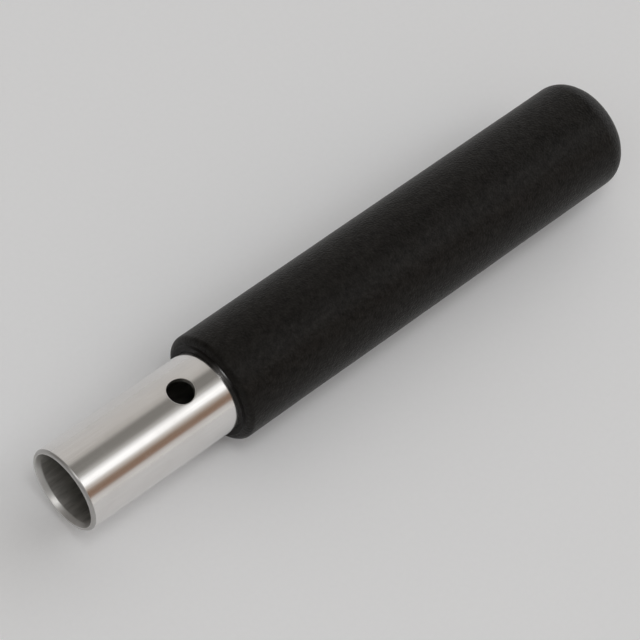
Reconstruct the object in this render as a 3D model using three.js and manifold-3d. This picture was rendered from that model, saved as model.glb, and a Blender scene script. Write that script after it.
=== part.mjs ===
// Padded end arm of a ladder stabilizer.
//
// The open end of a one-inch tube slides onto the stabilizer's bar, whose snap button springs
// out through the pin hole. A closed-end foam sleeve covers the rest of the tube and bears on
// the wall, and a plastic plug in the tube's far end keeps its cut edge out of the foam.
//
// Frame: the arm lies on its sleeve along X, with the tube's mouth towards -X and the pin hole
// facing +Z. The origin is the middle of the bounding box's bottom face. Units: millimetres.

import * as THREE from 'three';
import { mergeVertices } from 'three/addons/utils/BufferGeometryUtils.js';
import Module from 'manifold-3d';

// Driving dimensions
const OVERALL_LENGTH = 200;
const FIT_GAP = 0.3; // between pieces that touch on the real arm

const TUBE_DIAMETER = 25.4;
const TUBE_WALL = 1.6;
const MOUTH_RIM_ROUND = 0.9; // outer edge of the open mouth
const MOUTH_REAM_LENGTH = 1.7; // the bore flares out over this length up to the mouth
const MOUTH_REAM_DEPTH = 0.5; // by this much in its radius
const TUBE_EDGE_BREAK = 0.3; // on the edges of the tube's far end
const BARE_TUBE_LENGTH = 50.8; // from the mouth to the sleeve

const PIN_HOLE_DIAMETER = 7.8;
const PIN_HOLE_FROM_MOUTH = 39.4;

const SLEEVE_DIAMETER = 33.3;
const SLEEVE_FRONT_ROUND_LENGTH = 2.5; // outer edge where the bare tube enters, along the axis
const SLEEVE_FRONT_ROUND_DEPTH = 2.2; // the same edge, across the foam's wall
const SLEEVE_BORE_ROUND = 0.4; // inner edge where the bare tube enters
const SLEEVE_END_ROUND = 7; // shoulder of the closed end
const SLEEVE_END_THICKNESS = 12; // solid foam past the plug

const PLUG_HEAD_DIAMETER = 24.6;
const PLUG_HEAD_THICKNESS = 2.5;
const PLUG_HEAD_ROUND = 0.8;
const PLUG_SHANK_LENGTH = 15;
const PLUG_CORE_DIAMETER = 18.4;
const PLUG_SHANK_WALL = 1.6;
const PLUG_RIB_COUNT = 4;
const PLUG_RIB_WIDTH = 0.8; // at the rib's crest

// Facets round each piece, with one facing straight down and one straight up
const OUTER_SIDES = 64;
const PLUG_SIDES = 48;
const HOLE_SIDES = 32;
const ROUND_STEPS = 6; // chords in each rounded corner

// Sizes that follow from them
const SLEEVE_LENGTH = OVERALL_LENGTH - BARE_TUBE_LENGTH;
const TUBE_LENGTH = OVERALL_LENGTH - SLEEVE_END_THICKNESS - PLUG_HEAD_THICKNESS - 2 * FIT_GAP;
const TUBE_BORE_DIAMETER = TUBE_DIAMETER - 2 * TUBE_WALL;
const SLEEVE_BORE_DIAMETER = TUBE_DIAMETER + 2 * FIT_GAP;
const SLEEVE_BORE_DEPTH = SLEEVE_LENGTH - SLEEVE_END_THICKNESS;

const { Manifold, Mesh: ManifoldMesh } = await loadManifold();

async function loadManifold() {
  const wasm = await Module();
  wasm.setup();
  return wasm;
}

// A rounded corner of an outline: a quarter of an ellipse about [axial, radial], with the given
// half-axes, from one angle to another in degrees.
function corner(axial, radial, length, depth, fromDegrees, toDegrees) {
  const points = [];
  for (let step = 0; step <= ROUND_STEPS; step += 1) {
    const degrees = fromDegrees + ((toDegrees - fromDegrees) * step) / ROUND_STEPS;
    const angle = THREE.MathUtils.degToRad(degrees);
    points.push([axial + length * Math.cos(angle), radial + depth * Math.sin(angle)]);
  }
  return points;
}

// Turns an outline of [axial, radial] points about X. The radial sizes are across the flats,
// so a facet lies exactly on the top and the bottom of every diameter.
function turned(outline, sides) {
  const acrossCorners = 1 / Math.cos(Math.PI / sides);
  const profile = outline.map(([axial, radial]) => new THREE.Vector2(radial * acrossCorners, axial));
  const geometry = new THREE.LatheGeometry(profile, sides, Math.PI / sides);
  return geometry.rotateZ(-Math.PI / 2);
}

function toManifold(geometry) {
  const bare = geometry.clone().deleteAttribute('normal').deleteAttribute('uv');
  const merged = mergeVertices(bare);
  const vertProperties = new Float32Array(merged.attributes.position.array);
  const triVerts = new Uint32Array(merged.index.array);
  return new Manifold(new ManifoldMesh({ numProp: 3, vertProperties, triVerts }));
}

function toGeometry(manifold) {
  const { vertProperties, triVerts } = manifold.getMesh();
  const geometry = new THREE.BufferGeometry();
  geometry.setAttribute('position', new THREE.BufferAttribute(vertProperties, 3));
  geometry.setIndex(new THREE.BufferAttribute(triVerts, 1));
  geometry.computeVertexNormals();
  return geometry;
}

function tubeBlank() {
  const outer = TUBE_DIAMETER / 2;
  const inner = TUBE_BORE_DIAMETER / 2;
  const edge = TUBE_EDGE_BREAK;
  const round = MOUTH_RIM_ROUND;
  const outline = [
    [0, inner + MOUTH_REAM_DEPTH],
    ...corner(round, outer - round, round, round, 180, 90),
    [TUBE_LENGTH - edge, outer],
    [TUBE_LENGTH, outer - edge],
    [TUBE_LENGTH, inner + edge],
    [TUBE_LENGTH - edge, inner],
    [MOUTH_REAM_LENGTH, inner],
    [0, inner + MOUTH_REAM_DEPTH],
  ];
  return turned(outline, OUTER_SIDES);
}

function pinHoleDrill() {
  const radius = PIN_HOLE_DIAMETER / 2;
  const geometry = new THREE.CylinderGeometry(radius, radius, TUBE_DIAMETER, HOLE_SIDES);
  geometry.rotateX(Math.PI / 2);
  return geometry.translate(PIN_HOLE_FROM_MOUTH, 0, TUBE_DIAMETER / 2);
}

function tubeGeometry() {
  const drilled = toManifold(tubeBlank()).subtract(toManifold(pinHoleDrill()));
  return toGeometry(drilled);
}

function sleeveGeometry() {
  const outer = SLEEVE_DIAMETER / 2;
  const bore = SLEEVE_BORE_DIAMETER / 2;
  const length = SLEEVE_FRONT_ROUND_LENGTH;
  const depth = SLEEVE_FRONT_ROUND_DEPTH;
  const mouth = SLEEVE_BORE_ROUND;
  const end = SLEEVE_END_ROUND;
  const outline = [
    [SLEEVE_BORE_DEPTH, 0],
    [SLEEVE_BORE_DEPTH, bore],
    ...corner(mouth, bore + mouth, mouth, mouth, 270, 180),
    ...corner(length, outer - depth, length, depth, 180, 90),
    ...corner(SLEEVE_LENGTH - end, outer - end, end, end, 90, 0),
    [SLEEVE_LENGTH, 0],
  ];
  return turned(outline, OUTER_SIDES);
}

// The shank's outline from its tip to its head: a barbed rib, then a groove, repeated.
function plugRibs() {
  const crest = TUBE_BORE_DIAMETER / 2 - FIT_GAP;
  const core = PLUG_CORE_DIAMETER / 2;
  const pitch = PLUG_SHANK_LENGTH / PLUG_RIB_COUNT;
  const points = [];
  for (let rib = 0; rib < PLUG_RIB_COUNT; rib += 1) {
    const start = rib * pitch;
    const crestEnd = start + pitch / 2;
    points.push([start, core]);
    points.push([crestEnd - PLUG_RIB_WIDTH, crest]);
    points.push([crestEnd, crest]);
    points.push([crestEnd, core]);
  }
  return points;
}

function plugGeometry() {
  const head = PLUG_HEAD_DIAMETER / 2;
  const round = PLUG_HEAD_ROUND;
  const hollow = PLUG_CORE_DIAMETER / 2 - PLUG_SHANK_WALL;
  const headStart = PLUG_SHANK_LENGTH + FIT_GAP;
  const headEnd = headStart + PLUG_HEAD_THICKNESS;
  const outline = [
    [headStart, 0],
    [headStart, hollow],
    [0, hollow],
    ...plugRibs(),
    [headStart, PLUG_CORE_DIAMETER / 2],
    [headStart, head],
    ...corner(headEnd - round, head - round, round, round, 90, 0),
    [headEnd, 0],
  ];
  return turned(outline, PLUG_SIDES);
}

function piece(name, geometry, axialStart, look) {
  const mesh = new THREE.Mesh(geometry, new THREE.MeshStandardMaterial(look));
  mesh.name = name;
  mesh.position.x = axialStart;
  return mesh;
}

const brightMetal = { color: 0xc9c8c6, roughness: 0.22, metalness: 1 };
const blackFoam = { color: 0x151515, roughness: 0.85, metalness: 0 };
const blackPlastic = { color: 0x1c1c1d, roughness: 0.5, metalness: 0 };

const arm = new THREE.Group();
arm.position.set(-OVERALL_LENGTH / 2, 0, SLEEVE_DIAMETER / 2);
arm.add(piece('arm_tube', tubeGeometry(), 0, brightMetal));
arm.add(piece('foam_sleeve', sleeveGeometry(), BARE_TUBE_LENGTH, blackFoam));
arm.add(piece('tube_end_plug', plugGeometry(), TUBE_LENGTH - PLUG_SHANK_LENGTH, blackPlastic));

const group = new THREE.Group();
group.add(arm);

export default group;
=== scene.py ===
"""Looks for the padded end arm of a ladder stabilizer.

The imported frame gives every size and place. This script adds a smooth tube with a drilled
pin hole, a moulded foam sleeve, a ribbed end plug, a pale floor, studio light and the camera.
"""

import math

import bmesh
import bpy
from mathutils import Matrix, Vector, noise


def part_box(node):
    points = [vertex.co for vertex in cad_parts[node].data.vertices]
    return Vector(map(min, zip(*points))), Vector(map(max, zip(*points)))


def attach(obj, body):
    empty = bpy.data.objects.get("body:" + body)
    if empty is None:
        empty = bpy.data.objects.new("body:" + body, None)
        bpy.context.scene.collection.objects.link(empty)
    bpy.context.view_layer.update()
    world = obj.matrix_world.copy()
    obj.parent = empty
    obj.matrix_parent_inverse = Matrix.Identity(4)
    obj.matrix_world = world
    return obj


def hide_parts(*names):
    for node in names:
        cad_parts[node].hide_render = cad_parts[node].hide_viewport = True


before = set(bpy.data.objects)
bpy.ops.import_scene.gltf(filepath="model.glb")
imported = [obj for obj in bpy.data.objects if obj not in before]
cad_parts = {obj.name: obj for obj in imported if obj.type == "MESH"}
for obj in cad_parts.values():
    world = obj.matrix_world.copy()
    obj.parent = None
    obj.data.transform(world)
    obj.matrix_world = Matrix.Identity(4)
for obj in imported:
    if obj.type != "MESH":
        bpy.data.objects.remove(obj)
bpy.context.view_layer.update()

MM = 0.001

# Where the pieces lie, from the frame
TUBE_LOW, TUBE_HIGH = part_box("arm_tube")
SLEEVE_LOW, SLEEVE_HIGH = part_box("foam_sleeve")
PLUG_LOW, PLUG_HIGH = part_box("tube_end_plug")
AXIS_HEIGHT = (SLEEVE_LOW.z + SLEEVE_HIGH.z) / 2
TUBE_RADIUS = (TUBE_HIGH.z - TUBE_LOW.z) / 2
SLEEVE_RADIUS = (SLEEVE_HIGH.z - SLEEVE_LOW.z) / 2
PLUG_HEAD_RADIUS = (PLUG_HIGH.z - PLUG_LOW.z) / 2

# Sizes inside those boxes, as the CAD part has them
TUBE_WALL = 1.6 * MM
MOUTH_RIM_ROUND = 0.9 * MM
MOUTH_REAM_LENGTH = 1.7 * MM
MOUTH_REAM_DEPTH = 0.5 * MM
REAM_EDGE = 0.15 * MM
TUBE_EDGE_BREAK = 0.3 * MM
HOLE_RADIUS = 3.9 * MM
HOLE_FROM_MOUTH = 39.4 * MM
HOLE_EDGE_ROUND = 0.1 * MM
FIT_GAP = 0.3 * MM
BORE_FRONT_LENGTH = 6 * MM  # over this length the sleeve's bore closes in on the tube
FRONT_ROUND_LENGTH = 2.5 * MM
FRONT_ROUND_DEPTH = 2.2 * MM
END_ROUND = 7.0 * MM
END_THICKNESS = 12.0 * MM
PLUG_HEAD_THICKNESS = 2.5 * MM
PLUG_HEAD_ROUND = 0.8 * MM
PLUG_CORE_RADIUS = 9.2 * MM
PLUG_SHANK_WALL = 1.6 * MM
PLUG_RIB_COUNT = 4
PLUG_RIB_WIDTH = 0.8 * MM

PLUG_EDGE = 0.2 * MM
PLUG_TIP_BREAK = 0.3 * MM

# The middle of the shiny patch on the foam's front edge
SHINY_PATCH = (SLEEVE_LOW.x, -3.6 * MM, AXIS_HEIGHT + 14 * MM)

# The camera's viewing angle: azimuth 0 looks along +Y, and roll tips the camera's right side up
CAMERA_AZIMUTH = -56.64
CAMERA_ELEVATION = 57.93
CAMERA_ROLL = 17.35
CAMERA_DISTANCE = 0.8885
CAMERA_LENS = 180.2
CAMERA_TARGET = Vector((-8.88 * MM, -1.71 * MM, AXIS_HEIGHT))


# ---------------------------------------------------------------- outlines and meshes

def arc(axial, radial, length, depth, start, end, steps):
    """Points of an elliptical corner about (axial, radial), angles in degrees."""
    points = []
    for step in range(steps + 1):
        angle = math.radians(start + (end - start) * step / steps)
        points.append((axial + length * math.cos(angle), radial + depth * math.sin(angle)))
    return points


def eased(before, corner, after, size, steps=4):
    """Points that replace a sharp corner of an outline by a small curve."""
    corner_point = Vector(corner)
    first = corner_point + (Vector(before) - corner_point).normalized() * size
    last = corner_point + (Vector(after) - corner_point).normalized() * size
    points = []
    for step in range(steps + 1):
        share = step / steps
        near = first.lerp(corner_point, share)
        points.append(tuple(near.lerp(corner_point.lerp(last, share), share)))
    return points


def straight(start, end, steps):
    """The points that divide a straight stretch of an outline, without its two ends."""
    points = []
    for step in range(1, steps):
        share = step / steps
        points.append(tuple(a + (b - a) * share for a, b in zip(start, end)))
    return points


def on_ring(axial, radial, angle):
    """A point at an angle about the arm's axis: 0 is straight up, a right angle is +Y."""
    return Vector((axial, radial * math.sin(angle), AXIS_HEIGHT + radial * math.cos(angle)))


def turned(outline, sides, closed=False, leave_out=None):
    """A bmesh turned about the arm's axis from (axial, radial) points, and its rings.

    A closed outline comes back to its first point. An open one starts and ends on the axis.
    leave_out(ring, side) is true for each face that another surface will fill.
    """
    mesh = bmesh.new()
    rings = []
    for axial, radial in outline:
        count = sides if radial > 0 else 1
        angles = [2 * math.pi * side / sides for side in range(count)]
        rings.append([mesh.verts.new(on_ring(axial, radial, angle)) for angle in angles])
    pairs = list(zip(rings, rings[1:]))
    if closed:
        pairs.append((rings[-1], rings[0]))
    for index, (first, second) in enumerate(pairs):
        for side in range(sides):
            if leave_out and leave_out(index, side):
                continue
            after = (side + 1) % sides
            corners = [first[side % len(first)], first[after % len(first)],
                       second[after % len(second)], second[side % len(second)]]
            mesh.faces.new(list(dict.fromkeys(corners)))
    return mesh, rings


def bridge(mesh, first, second):
    """Joins two closed loops of as many points with four-sided faces."""
    for index in range(len(first)):
        after = (index + 1) % len(first)
        mesh.faces.new([first[index], first[after], second[after], second[index]])


def add_piece(name, mesh_data, materials, node):
    """Makes a smooth-shaded object of a bmesh, which stands for a CAD node."""
    bmesh.ops.recalc_face_normals(mesh_data, faces=mesh_data.faces)
    mesh = bpy.data.meshes.new(name)
    mesh_data.to_mesh(mesh)
    mesh_data.free()
    mesh.polygons.foreach_set("use_smooth", [True] * len(mesh.polygons))
    for material in materials:
        mesh.materials.append(material)
    piece = bpy.data.objects.new(name, mesh)
    bpy.context.scene.collection.objects.link(piece)
    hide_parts(node)
    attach(piece, "root")
    return piece


# ---------------------------------------------------------------- camera

def add_camera():
    data = bpy.data.cameras.new("photo_camera")
    data.lens = CAMERA_LENS
    data.sensor_width = 36.0
    data.clip_end = 20.0
    camera = bpy.data.objects.new("photo_camera", data)
    azimuth = math.radians(CAMERA_AZIMUTH)
    elevation = math.radians(CAMERA_ELEVATION)
    level = math.cos(elevation)
    back = Vector((math.sin(azimuth) * level, -math.cos(azimuth) * level, math.sin(elevation)))
    camera.location = CAMERA_TARGET + back * CAMERA_DISTANCE
    facing = (-back).to_track_quat("-Z", "Y").to_matrix().to_4x4()
    roll = Matrix.Rotation(math.radians(CAMERA_ROLL), 4, "Z")
    camera.rotation_euler = (facing @ roll).to_euler()
    bpy.context.scene.collection.objects.link(camera)
    bpy.context.scene.camera = camera


add_camera()


# ---------------------------------------------------------------- materials

def new_material(name):
    material = bpy.data.materials.new(name)
    material.use_nodes = True
    return material, material.node_tree, material.node_tree.nodes["Principled BSDF"]


def add_node(tree, kind, settings=None, inputs=None):
    """A node with its settings, and the values or the links of its inputs."""
    made = tree.nodes.new(kind)
    for name, value in (settings or {}).items():
        setattr(made, name, value)
    for name, value in (inputs or {}).items():
        if isinstance(value, bpy.types.NodeSocket):
            tree.links.new(value, made.inputs[name])
        else:
            made.inputs[name].default_value = value
    return made


def part_coordinates(tree, scale):
    """The part's own coordinates in metres, each axis times its scale."""
    source = add_node(tree, "ShaderNodeTexCoord").outputs["Object"]
    return add_node(tree, "ShaderNodeMapping", inputs={"Vector": source, "Scale": scale}).outputs[0]


def noise_value(tree, scale, detail, seed, roughness=0.5):
    """Smooth noise from 0 to 1. The scale is in cells per metre along each axis."""
    vector = part_coordinates(tree, scale)
    return add_node(tree, "ShaderNodeTexNoise", {"noise_dimensions": "4D"}, {
        "Vector": vector, "W": seed, "Scale": 1.0, "Detail": detail, "Roughness": roughness,
    }).outputs["Fac"]


def spread(tree, value, low, high, to_low, to_high):
    """Maps a value from one range onto another, and holds it inside."""
    return add_node(tree, "ShaderNodeMapRange", inputs={
        "Value": value, "From Min": low, "From Max": high, "To Min": to_low, "To Max": to_high,
    }).outputs["Result"]


def between(tree, share, first, second):
    """A colour from first to second as share goes from 0 to 1."""
    return add_node(tree, "ShaderNodeMix", {"data_type": "RGBA"}, {
        0: share, 6: (*first, 1), 7: (*second, 1),
    }).outputs[2]


def mixed(tree, share, first, second):
    """A mix of two linked colours."""
    return add_node(tree, "ShaderNodeMix", {"data_type": "RGBA"}, {
        0: share, 6: first, 7: second,
    }).outputs[2]


def calculate(tree, operation, first, second):
    inputs = {0: first, 1: second}
    return add_node(tree, "ShaderNodeMath", {"operation": operation}, inputs).outputs[0]


def relief(tree, height, strength, distance, below=None):
    inputs = {"Height": height, "Strength": strength, "Distance": distance}
    if below is not None:
        inputs["Normal"] = below
    return add_node(tree, "ShaderNodeBump", inputs=inputs).outputs["Normal"]


def polished_tube():
    """Bright drawn metal: fine lines along the tube, faint smudges and a few light scuffs."""
    material, tree, principled = new_material("polished_tube")
    lines = noise_value(tree, (60, 9000, 9000), 3, 1.0)
    smudges = noise_value(tree, (90, 130, 130), 3, 2.0, 0.6)
    scuffs = noise_value(tree, (900, 160, 160), 2, 3.0)
    lined_share = spread(tree, lines, 0.3, 0.7, 0, 1)
    clean = between(tree, lined_share, (0.745, 0.73, 0.715), (0.82, 0.805, 0.79))
    base = add_node(tree, "ShaderNodeMix", {"data_type": "RGBA"}, {
        0: spread(tree, smudges, 0.45, 0.8, 0, 0.6), 6: clean, 7: (0.70, 0.68, 0.66, 1),
    }).outputs[2]
    tree.links.new(base, principled.inputs["Base Color"])
    principled.inputs["Metallic"].default_value = 1.0
    dull = spread(tree, smudges, 0.4, 0.8, 0.12, 0.2)
    lined = calculate(tree, "ADD", dull, spread(tree, lines, 0.3, 0.8, -0.02, 0.05))
    scuffed = calculate(tree, "ADD", lined, spread(tree, scuffs, 0.66, 0.8, 0.0, 0.12))
    tree.links.new(scuffed, principled.inputs["Roughness"])
    normal = relief(tree, lines, 0.25, 0.00002)
    tree.links.new(normal, principled.inputs["Normal"])
    return material


def drawn_bore():
    """The tube's unpolished inside: dull and stained, with painted light just inside the mouth,
    where light falls in.
    """
    material, tree, principled = new_material("drawn_bore")
    lines = noise_value(tree, (40, 3500, 3500), 4, 5.0)
    stain = noise_value(tree, (90, 420, 420), 4, 6.0, 0.6)
    stained = spread(tree, stain, 0.35, 0.65, 0, 1)
    dull = between(tree, stained, (0.56, 0.54, 0.51), (0.28, 0.27, 0.25))
    place = add_node(tree, "ShaderNodeTexCoord").outputs["Object"]
    along = add_node(tree, "ShaderNodeSeparateXYZ", inputs={0: place}).outputs["X"]
    # Painted light: the bore's colour is lighter over the first millimetres inside the mouth and
    # fades out by 8 mm, where light falls in.
    painted_light_near_mouth = spread(tree, along, TUBE_LOW.x + 2 * MM, TUBE_LOW.x + 8 * MM, 1.0, 0.0)
    bright = between(tree, stained, (0.97, 0.95, 0.92), (0.60, 0.585, 0.56))
    base = mixed(tree, painted_light_near_mouth, dull, bright)
    tree.links.new(base, principled.inputs["Base Color"])
    principled.inputs["Metallic"].default_value = 1.0
    rough = spread(tree, lines, 0.25, 0.75, 0.42, 0.54)
    tree.links.new(rough, principled.inputs["Roughness"])
    tree.links.new(relief(tree, lines, 0.5, 0.00003), principled.inputs["Normal"])
    return material


def cut_metal(name, darker, lighter):
    """Metal left satin by a cutter, as on the mouth's flare and on its rounded rim."""
    material, tree, principled = new_material(name)
    turning = noise_value(tree, (5000, 700, 700), 3, 8.0)
    base = between(tree, turning, darker, lighter)
    tree.links.new(base, principled.inputs["Base Color"])
    principled.inputs["Metallic"].default_value = 1.0
    tree.links.new(spread(tree, turning, 0.3, 0.7, 0.33, 0.43), principled.inputs["Roughness"])
    tree.links.new(relief(tree, turning, 0.3, 0.00002), principled.inputs["Normal"])
    return material


def black_foam():
    """Closed-cell foam with a moulded skin: fine cells, soft mottling and pale dust."""
    material, tree, principled = new_material("black_foam")
    cells = add_node(tree, "ShaderNodeTexVoronoi", {"feature": "SMOOTH_F1"}, {
        "Vector": part_coordinates(tree, (1, 1, 1)), "Scale": 1500.0, "Smoothness": 0.5,
    }).outputs["Distance"]
    grain = noise_value(tree, (1900, 1900, 1900), 3, 11.0, 0.6)
    mottle = noise_value(tree, (480, 620, 620), 4, 12.0, 0.75)
    dust = noise_value(tree, (2200, 2200, 2200), 2, 13.0)
    patches = spread(tree, mottle, 0.28, 0.72, 0, 1)
    dark = between(tree, patches, (0.0019, 0.0014, 0.0008), (0.0122, 0.0104, 0.0084))
    specks = spread(tree, dust, 0.62, 0.8, 0, 0.4)
    dusty = add_node(tree, "ShaderNodeMix", {"data_type": "RGBA"}, {
        0: specks, 6: dark, 7: (0.040, 0.037, 0.034, 1),
    }).outputs[2]
    tree.links.new(dusty, principled.inputs["Base Color"])
    rough = spread(tree, grain, 0.3, 0.7, 0.34, 0.46)
    tree.links.new(rough, principled.inputs["Roughness"])
    gloss = spread(tree, mottle, 0.28, 0.72, 0.10, 0.18)
    tree.links.new(gloss, principled.inputs["Specular IOR Level"])
    fine = relief(tree, cells, 0.6, 0.00014)
    tree.links.new(relief(tree, grain, 0.4, 0.00016, fine), principled.inputs["Normal"])
    return material


def sealed_skin():
    """The heat-sealed edge of the foam where it meets the tube, with one shiny patch on top."""
    material, tree, principled = new_material("sealed_skin")
    ripple = noise_value(tree, (900, 900, 900), 2, 16.0)
    base = between(tree, ripple, (0.0060, 0.0050, 0.0045), (0.0100, 0.0088, 0.0080))
    tree.links.new(base, principled.inputs["Base Color"])
    tree.links.new(spread(tree, ripple, 0.3, 0.7, 0.16, 0.26), principled.inputs["Roughness"])
    tree.links.new(relief(tree, ripple, 0.15, 0.0001), principled.inputs["Normal"])
    from_patch = add_node(tree, "ShaderNodeVectorMath", {"operation": "DISTANCE"}, {
        0: add_node(tree, "ShaderNodeTexCoord").outputs["Object"], 1: SHINY_PATCH,
    }).outputs["Value"]
    gloss = spread(tree, from_patch, 1.5 * MM, 4.5 * MM, 0.75, 0.08)
    tree.links.new(gloss, principled.inputs["Specular IOR Level"])
    return material


def black_plastic():
    """Moulded plastic with a fine spark texture."""
    material, tree, principled = new_material("black_plastic")
    grain = noise_value(tree, (3000, 3000, 3000), 3, 21.0)
    base = between(tree, grain, (0.018, 0.018, 0.019), (0.028, 0.028, 0.029))
    tree.links.new(base, principled.inputs["Base Color"])
    tree.links.new(spread(tree, grain, 0.3, 0.7, 0.38, 0.5), principled.inputs["Roughness"])
    tree.links.new(relief(tree, grain, 0.3, 0.00005), principled.inputs["Normal"])
    return material


def floor_paper():
    """Plain pale backdrop paper with a faint grain."""
    material, tree, principled = new_material("floor_paper")
    fibres = noise_value(tree, (700, 700, 700), 3, 31.0)
    base = between(tree, fibres, (0.90, 0.905, 0.915), (0.93, 0.935, 0.945))
    tree.links.new(base, principled.inputs["Base Color"])
    principled.inputs["Roughness"].default_value = 0.9
    principled.inputs["Specular IOR Level"].default_value = 0.2
    tree.links.new(relief(tree, fibres, 0.1, 0.00005), principled.inputs["Normal"])
    return material


# ---------------------------------------------------------------- the tube and its pin hole

TUBE_SIDES = 192
PATCH = 16  # the hole's patch reaches this many faces each way from the hole's centre
PATCH_STEP = 0.4 * MM
PATCH_LOOPS = 10
HOLE_X = TUBE_LOW.x + HOLE_FROM_MOUTH


def patch_rows():
    return [HOLE_X + PATCH_STEP * row for row in range(-PATCH, PATCH + 1)]


def tube_outline():
    """The wall's closed outline, and where the hole's patch starts on the outside and inside."""
    start, end = TUBE_LOW.x, TUBE_HIGH.x
    outer = TUBE_RADIUS
    inner = TUBE_RADIUS - TUBE_WALL
    edge = TUBE_EDGE_BREAK
    rim = MOUTH_RIM_ROUND
    rows = patch_rows()
    points = arc(start + rim, outer - rim, rim, rim, 180, 90, 12)
    points += straight((start + rim, outer), (rows[0], outer), 50)
    outside = len(points)
    points += [(row, outer) for row in rows]
    points += straight((rows[-1], outer), (end - edge, outer), 60)
    points += arc(end - edge, outer - edge, edge, edge, 90, 0, 3)
    points += arc(end - edge, inner + edge, edge, edge, 0, -90, 3)
    points += straight((end - edge, inner), (rows[-1], inner), 60)
    inside = len(points)
    points += [(row, inner) for row in reversed(rows)]
    ream_end = (start + MOUTH_REAM_LENGTH, inner)
    ream_start = (start, inner + MOUTH_REAM_DEPTH)
    points += straight((rows[0], inner), ream_end, 50)
    points += eased((rows[0], inner), ream_end, ream_start, REAM_EDGE)
    points += straight(ream_end, ream_start, 5)[1:-1]
    points += eased(ream_end, ream_start, (start, outer), REAM_EDGE)
    return points, outside, inside


def patch_border(rings):
    """The patch's border as one loop of points, from rings in the order of patch_rows."""
    last = 2 * PATCH
    steps = [(0, side) for side in range(-PATCH, PATCH)]
    steps += [(row, PATCH) for row in range(last)]
    steps += [(last, side) for side in range(PATCH, -PATCH, -1)]
    steps += [(row, -PATCH) for row in range(last, 0, -1)]
    return [rings[row][side % TUBE_SIDES] for row, side in steps]


def hole_loop(mesh, border, radius, shell, depth, share):
    """A loop between the border (share 0) and a circle of that radius (share 1).

    Its points lie on the shell's cylinder, or that depth inside it.
    """
    loop = []
    for vertex in border:
        away = Vector((vertex.co.x - HOLE_X, vertex.co.y))
        spot = away.lerp(away.normalized() * radius, share)
        height = math.sqrt(shell ** 2 - spot.y ** 2) - depth
        loop.append(mesh.verts.new((HOLE_X + spot.x, spot.y, AXIS_HEIGHT + height)))
    return loop


def drill_pin_hole(mesh, outer_border, inner_border):
    """Fills the outside and inside patches round the hole, and joins them by its wall."""
    outer = TUBE_RADIUS
    inner = TUBE_RADIUS - TUBE_WALL
    edge = HOLE_EDGE_ROUND
    wide = HOLE_RADIUS + edge
    loops = [outer_border]
    for step in range(1, PATCH_LOOPS + 1):
        loops.append(hole_loop(mesh, outer_border, wide, outer, 0, step / PATCH_LOOPS))
    for angle in (30, 60, 90):
        turn = math.radians(angle)
        radius = wide - edge * math.sin(turn)
        loops.append(hole_loop(mesh, outer_border, radius, outer, edge * (1 - math.cos(turn)), 1))
    for level in (0.33, 0.67):
        loops.append(hole_loop(mesh, outer_border, HOLE_RADIUS, outer, TUBE_WALL * level, 1))
    for step in range(PATCH_LOOPS, 0, -1):
        loops.append(hole_loop(mesh, inner_border, HOLE_RADIUS, inner, 0, step / PATCH_LOOPS))
    loops.append(inner_border)
    for first, second in zip(loops, loops[1:]):
        bridge(mesh, first, second)


def tube_surface(face):
    """The face's material: 0 polished, 1 drawn bore, 2 the mouth's flare, 3 its rounded rim."""
    middle = face.calc_center_median()
    radius = math.hypot(middle.y, middle.z - AXIS_HEIGHT)
    bore_radius = TUBE_RADIUS - TUBE_WALL
    if radius < bore_radius + 0.015 * MM:
        return 1
    if middle.x < TUBE_LOW.x + MOUTH_REAM_LENGTH and radius < TUBE_RADIUS - MOUTH_RIM_ROUND:
        return 2
    if middle.x < TUBE_LOW.x + 1.1 * MOUTH_RIM_ROUND:
        return 3
    from_hole = math.hypot(middle.x - HOLE_X, middle.y)
    if from_hole < HOLE_RADIUS + HOLE_EDGE_ROUND and middle.z > AXIS_HEIGHT:
        return 1
    return 0


def add_tube():
    outline, outside, inside = tube_outline()
    rows = 2 * PATCH

    def in_patch(ring, side):
        near_top = side < PATCH or side >= TUBE_SIDES - PATCH
        return near_top and (outside <= ring < outside + rows or inside <= ring < inside + rows)

    mesh, rings = turned(outline, TUBE_SIDES, closed=True, leave_out=in_patch)
    outer_rings = rings[outside:outside + rows + 1]
    inner_rings = rings[inside:inside + rows + 1][::-1]
    drill_pin_hole(mesh, patch_border(outer_rings), patch_border(inner_rings))
    for face in mesh.faces:
        face.material_index = tube_surface(face)
    flare = cut_metal("cut_flare", (0.60, 0.59, 0.575), (0.74, 0.73, 0.715))
    # Painted shade: the rounded rim gets a darker base than the flare beside it, for the darker look
    # of the rim's edge.
    rim = cut_metal("rim_painted_shade", (0.41, 0.40, 0.39), (0.51, 0.50, 0.485))
    metals = [polished_tube(), drawn_bore(), flare, rim]
    add_piece("arm_tube_drawn", mesh, metals, "arm_tube")


# ---------------------------------------------------------------- the sleeve

SLEEVE_SIDES = 256
LIP_GAP = 0.05 * MM  # at the front edge the foam grips the tube
COLLAR_LENGTH = 0.6 * MM  # a low sealed collar stands out round the tube
COLLAR_TAPER = 0.18 * MM
COLLAR_EDGE = 0.12 * MM
SKIN_WAVES = 0.09 * MM  # soft unevenness of the moulding
SKIN_PITS = 0.025 * MM
SKIN_MARGIN = 1 * MM  # the outside starts this far from the bore
WAVE_CELLS = 45  # per metre
RIPPLE_CELLS = 110
PIT_CELLS = 900
SKEW_REACH = 9 * MM  # how far the skew of the front edge reaches along the sleeve


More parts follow.
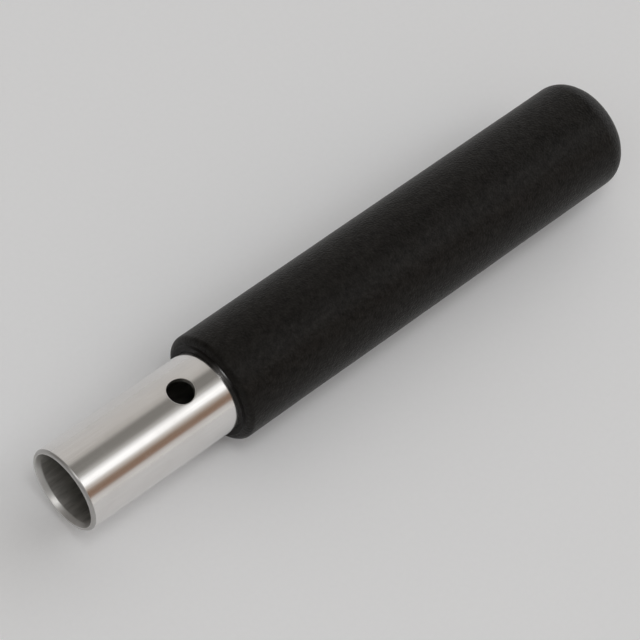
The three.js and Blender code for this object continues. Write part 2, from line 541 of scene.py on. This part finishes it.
def sleeve_outline():
    start, end = SLEEVE_LOW.x, SLEEVE_HIGH.x
    outer = SLEEVE_RADIUS
    bore = TUBE_RADIUS + FIT_GAP
    snug = TUBE_RADIUS + LIP_GAP
    collar = outer - FRONT_ROUND_DEPTH
    front = start + COLLAR_LENGTH
    depth = end - END_THICKNESS
    body_start = (start + FRONT_ROUND_LENGTH, outer)
    body_end = (end - END_ROUND, outer)
    points = [(depth, 0.0)]
    points += straight((depth, 0.0), (depth, bore), 6)
    points.append((depth, bore))
    closing = start + BORE_FRONT_LENGTH
    points += straight((depth, bore), (closing, bore), 60)
    points += straight((closing, bore), (start, snug), 10)
    points += eased((front, snug), (start, snug), (start, collar), COLLAR_EDGE)
    points += eased((start, snug), (start, collar - COLLAR_TAPER), (front, collar), COLLAR_EDGE)
    points += straight((start + COLLAR_LENGTH / 4, collar - COLLAR_TAPER * 0.75), (front, collar), 4)
    points += arc(body_start[0], collar, FRONT_ROUND_LENGTH - COLLAR_LENGTH,
                  FRONT_ROUND_DEPTH, 180, 90, 24)
    points += straight(body_start, body_end, 260)
    points += arc(body_end[0], outer - END_ROUND, END_ROUND, END_ROUND, 90, 0, 28)
    points += straight((end, outer - END_ROUND), (end, 0.0), 24)
    points.append((end, 0.0))
    return points


def roughen_skin(mesh):
    """Moves the outside inwards by soft waves and fine pits, and leaves the bore as it is."""
    bore = TUBE_RADIUS + FIT_GAP
    mesh.normal_update()
    moves = []
    for vertex in mesh.verts:
        radius = math.hypot(vertex.co.y, vertex.co.z - AXIS_HEIGHT)
        on_outside = vertex.co.x > SLEEVE_HIGH.x - SKIN_MARGIN or radius > bore + SKIN_MARGIN
        if not on_outside:
            continue
        waves = noise.noise(vertex.co * WAVE_CELLS) + 0.5 * noise.noise(vertex.co * RIPPLE_CELLS)
        pits = noise.noise(vertex.co * PIT_CELLS)
        inward = SKIN_WAVES * (0.75 + 0.5 * waves) + SKIN_PITS * (0.5 + 0.5 * pits)
        moves.append((vertex, vertex.normal.copy() * -inward))
    for vertex, move in moves:
        vertex.co += move


def on_collar(face):
    middle = face.calc_center_median()
    radius = math.hypot(middle.y, middle.z - AXIS_HEIGHT)
    inside_collar = radius < SLEEVE_RADIUS - FRONT_ROUND_DEPTH + 0.01 * MM
    return inside_collar and middle.x < SLEEVE_LOW.x + COLLAR_LENGTH


def skew_front(mesh):
    """Cuts the front edge a little out of square: it sits furthest back on the -Y side and top."""
    for vertex in mesh.verts:
        fade = 1 - (vertex.co.x - SLEEVE_LOW.x) / SKEW_REACH
        if fade > 0:
            side = vertex.co.y / SLEEVE_RADIUS
            top = (vertex.co.z - AXIS_HEIGHT) / SLEEVE_RADIUS
            vertex.co.x += (0.3 * top - 0.55 * side) * MM * fade


def add_sleeve():
    mesh, _ = turned(sleeve_outline(), SLEEVE_SIDES)
    bmesh.ops.recalc_face_normals(mesh, faces=mesh.faces)
    for face in mesh.faces:
        face.material_index = 1 if on_collar(face) else 0
    roughen_skin(mesh)
    skew_front(mesh)
    skins = [black_foam(), sealed_skin()]
    sleeve = add_piece("foam_sleeve_skin", mesh, skins, "foam_sleeve")


# ---------------------------------------------------------------- the end plug

def plug_outline():
    tip, end = PLUG_LOW.x, PLUG_HIGH.x
    head_start = end - PLUG_HEAD_THICKNESS
    crest = TUBE_RADIUS - TUBE_WALL - FIT_GAP
    hollow = PLUG_CORE_RADIUS - PLUG_SHANK_WALL
    pitch = (head_start - FIT_GAP - tip) / PLUG_RIB_COUNT
    points = [(head_start, 0.0), (head_start, hollow), (tip + PLUG_TIP_BREAK, hollow)]
    points.append((tip, hollow + PLUG_TIP_BREAK))
    for rib in range(PLUG_RIB_COUNT):
        start = tip + rib * pitch
        crest_end = start + pitch / 2
        points.append((start, PLUG_CORE_RADIUS))
        points.append((crest_end - PLUG_RIB_WIDTH, crest - PLUG_EDGE))
        points.append((crest_end - PLUG_RIB_WIDTH / 2, crest))
        points.append((crest_end, crest - PLUG_EDGE))
        points.append((crest_end, PLUG_CORE_RADIUS))
    points.append((head_start, PLUG_CORE_RADIUS))
    points.append((head_start, PLUG_HEAD_RADIUS - PLUG_EDGE))
    points.append((head_start + PLUG_EDGE, PLUG_HEAD_RADIUS))
    points += arc(end - PLUG_HEAD_ROUND, PLUG_HEAD_RADIUS - PLUG_HEAD_ROUND,
                  PLUG_HEAD_ROUND, PLUG_HEAD_ROUND, 90, 0, 6)
    points.append((end, 0.0))
    return points


def add_plug():
    mesh, _ = turned(plug_outline(), 96)
    add_piece("tube_end_plug_ribbed", mesh, [black_plastic()], "tube_end_plug")


# ---------------------------------------------------------------- studio

# The studio's brightness seen from the arm, by degrees of height: 0 is the horizon on the -Y
# side, 90 is overhead and 180 is the horizon on the +Y side. One list holds for the side
# towards the sleeve, the other for the side towards the tube's mouth.
SLEEVE_SIDE_BANDS = [
    (0, (0.72, 0.705, 0.69)),
    (13, (0.62, 0.60, 0.58)),
    (22, (0.27, 0.17, 0.12)),
    (33, (0.26, 0.175, 0.125)),
    (45, (0.60, 0.56, 0.52)),
    (52, (1.22, 1.22, 1.22)),
    (60, (1.36, 1.36, 1.36)),
    (68, (1.02, 1.02, 1.02)),
    (76, (0.46, 0.45, 0.43)),
    (88, (0.23, 0.22, 0.205)),
    (106, (0.225, 0.215, 0.20)),
    (120, (0.52, 0.50, 0.475)),
    (140, (0.58, 0.56, 0.54)),
    (180, (0.58, 0.57, 0.56)),
]
MOUTH_SIDE_BANDS = [
    (0, (0.46, 0.455, 0.45)),
    (35, (0.40, 0.395, 0.385)),
    (62, (0.38, 0.375, 0.365)),
    (76, (0.60, 0.59, 0.575)),
    (90, (0.60, 0.59, 0.575)),
    (102, (0.38, 0.37, 0.355)),
    (120, (0.24, 0.23, 0.215)),
    (150, (0.19, 0.18, 0.17)),
    (180, (0.26, 0.25, 0.24)),
]
MOUTH_END = (0.44, 0.44, 0.44)  # straight off the two ends of the arm
SLEEVE_END = (1.5, 1.51, 1.53)


def band_colour(tree, share, bands):
    ramp = add_node(tree, "ShaderNodeValToRGB", inputs={"Fac": share})
    ramp.color_ramp.interpolation = "EASE"
    elements = ramp.color_ramp.elements
    while len(elements) < len(bands):
        elements.new(1.0)
    for element, (degrees, colour) in zip(elements, bands):
        element.position = degrees / 180
        element.color = (*colour, 1)
    return ramp.outputs["Color"]


def add_world():
    world = bpy.data.worlds.new("studio")
    world.use_nodes = True
    tree = world.node_tree
    background = tree.nodes["Background"]
    direction = add_node(tree, "ShaderNodeTexCoord").outputs["Generated"]
    parts = add_node(tree, "ShaderNodeSeparateXYZ", inputs={0: direction}).outputs
    forward = calculate(tree, "MULTIPLY", parts["Y"], -1.0)
    height = calculate(tree, "ARCTAN2", parts["Z"], forward)
    share = calculate(tree, "DIVIDE", height, math.pi)
    sleeve_side = band_colour(tree, share, SLEEVE_SIDE_BANDS)
    mouth_side = band_colour(tree, share, MOUTH_SIDE_BANDS)
    to_sleeve = spread(tree, parts["X"], -0.08, 0.14, 0.0, 1.0)
    sides = mixed(tree, to_sleeve, mouth_side, sleeve_side)
    off_sleeve = spread(tree, parts["X"], 0.55, 0.85, 0.0, 1.0)
    off_mouth = spread(tree, parts["X"], -0.85, -0.5, 1.0, 0.0)
    with_sleeve_end = mixed(tree, off_sleeve, sides, (*SLEEVE_END, 1))
    colour = mixed(tree, off_mouth, with_sleeve_end, (*MOUTH_END, 1))
    tree.links.new(colour, background.inputs["Color"])
    background.inputs["Strength"].default_value = 1.0
    bpy.context.scene.world = world


def add_floor():
    mesh_data = bmesh.new()
    bmesh.ops.create_grid(mesh_data, x_segments=1, y_segments=1, size=3.0)
    mesh = bpy.data.meshes.new("studio_floor")
    mesh_data.to_mesh(mesh)
    mesh_data.free()
    mesh.materials.append(floor_paper())
    floor = bpy.data.objects.new("studio_floor", mesh)
    bpy.context.scene.collection.objects.link(floor)


def add_light(name, direction, distance, size, power):
    """An area light that faces the arm from a direction."""
    data = bpy.data.lights.new(name, "AREA")
    data.shape = "RECTANGLE"
    data.size, data.size_y = size
    data.energy = power
    light = bpy.data.objects.new(name, data)
    towards = Vector(direction).normalized()
    light.location = towards * distance
    light.rotation_euler = towards.to_track_quat("Z", "Y").to_euler()
    bpy.context.scene.collection.objects.link(light)


add_sleeve()
add_tube()
add_plug()
add_floor()
add_world()
add_light("softbox", direction=(-0.15, -0.155, 0.976), distance=1.2, size=(0.36, 0.36), power=1.5)
bpy.context.scene.view_settings.view_transform = "Standard"
